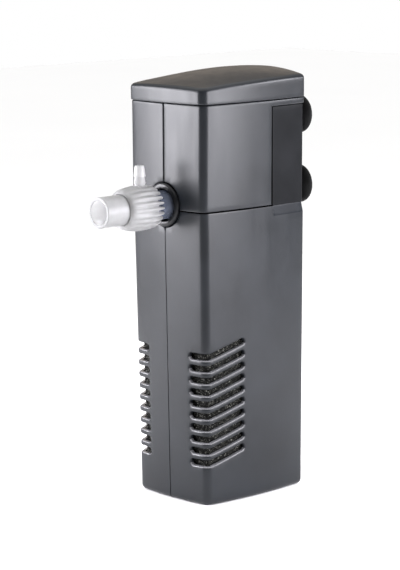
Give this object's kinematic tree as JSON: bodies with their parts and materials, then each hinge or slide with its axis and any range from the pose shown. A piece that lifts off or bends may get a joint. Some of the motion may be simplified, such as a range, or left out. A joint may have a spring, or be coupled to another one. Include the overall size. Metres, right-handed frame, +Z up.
{
  "type": "submersible internal power filter",
  "caption": "Tall slotted filter canister with suction cups, a lift-out pump head under a crowned cap, and a clear swivelling outlet nozzle with an air nipple.",
  "frame": {"origin": "centre of the canister's flat base", "axes": "+Z up, -Y to the front where the nozzle is, +Y to the glass, +X to the filter's right-hand side"},
  "size_m": [0.0598, 0.1209, 0.2151],
  "materials": {
    "body_plastic": "satin black with a fine moulded grain",
    "gloss_black": "glossy black",
    "clear_plastic": "clear, slightly frosted",
    "inner_plastic": "plain moulded",
    "soft_rubber": "soft and smooth",
    "sponge_foam": "open-cell foam",
    "steel": "plain",
    "copper": "enamelled wire",
    "ferrite": "moulded ferrite",
    "nylon": "natural nylon"
  },
  "bodies": {
    "canister": {"canister_shell": "body_plastic", "filter_sponge": "sponge_foam", "intake_screen": "inner_plastic", "suction_cup_lower_right": "soft_rubber", "suction_cup_lower_left": "soft_rubber", "suction_cup_upper_right": "soft_rubber", "suction_cup_upper_left": "soft_rubber"},
    "pump_head": {"head_shell_right": "body_plastic", "head_shell_left": "body_plastic", "top_cap": "body_plastic", "cable_gland": "soft_rubber", "volute_casing": "inner_plastic", "volute_cover": "inner_plastic", "volute_seal": "soft_rubber", "motor_pot": "inner_plastic", "stator_core": "steel", "bobbin_right": "nylon", "bobbin_left": "nylon", "coil_right": "copper", "coil_left": "copper", "shaft": "steel", "upper_bush": "soft_rubber", "lower_bush": "soft_rubber", "nozzle_seal": "soft_rubber", "pump_screw_right": "steel", "pump_screw_left": "steel", "outlet_collar": "gloss_black"},
    "rotor": {"rotor_magnet": "ferrite", "impeller": "nylon"},
    "nozzle": {"venturi_body": "clear_plastic", "outlet_tube": "clear_plastic"}
  },
  "joints": [
    {"name": "head_lift", "type": "slide", "parent": "canister", "child": "pump_head", "axis": [0, 0, 1], "range_m": [0, 0.075]},
    {"name": "rotor_spin", "type": "hinge", "parent": "pump_head", "child": "rotor", "pos_m": [0, 0, 0.1558], "axis": [0, 0, 1], "continuous": true},
    {"name": "nozzle_swivel", "type": "hinge", "parent": "pump_head", "child": "nozzle", "pos_m": [0, -0.038, 0.1496], "axis": [0, -1, 0], "continuous": true}
  ]
}
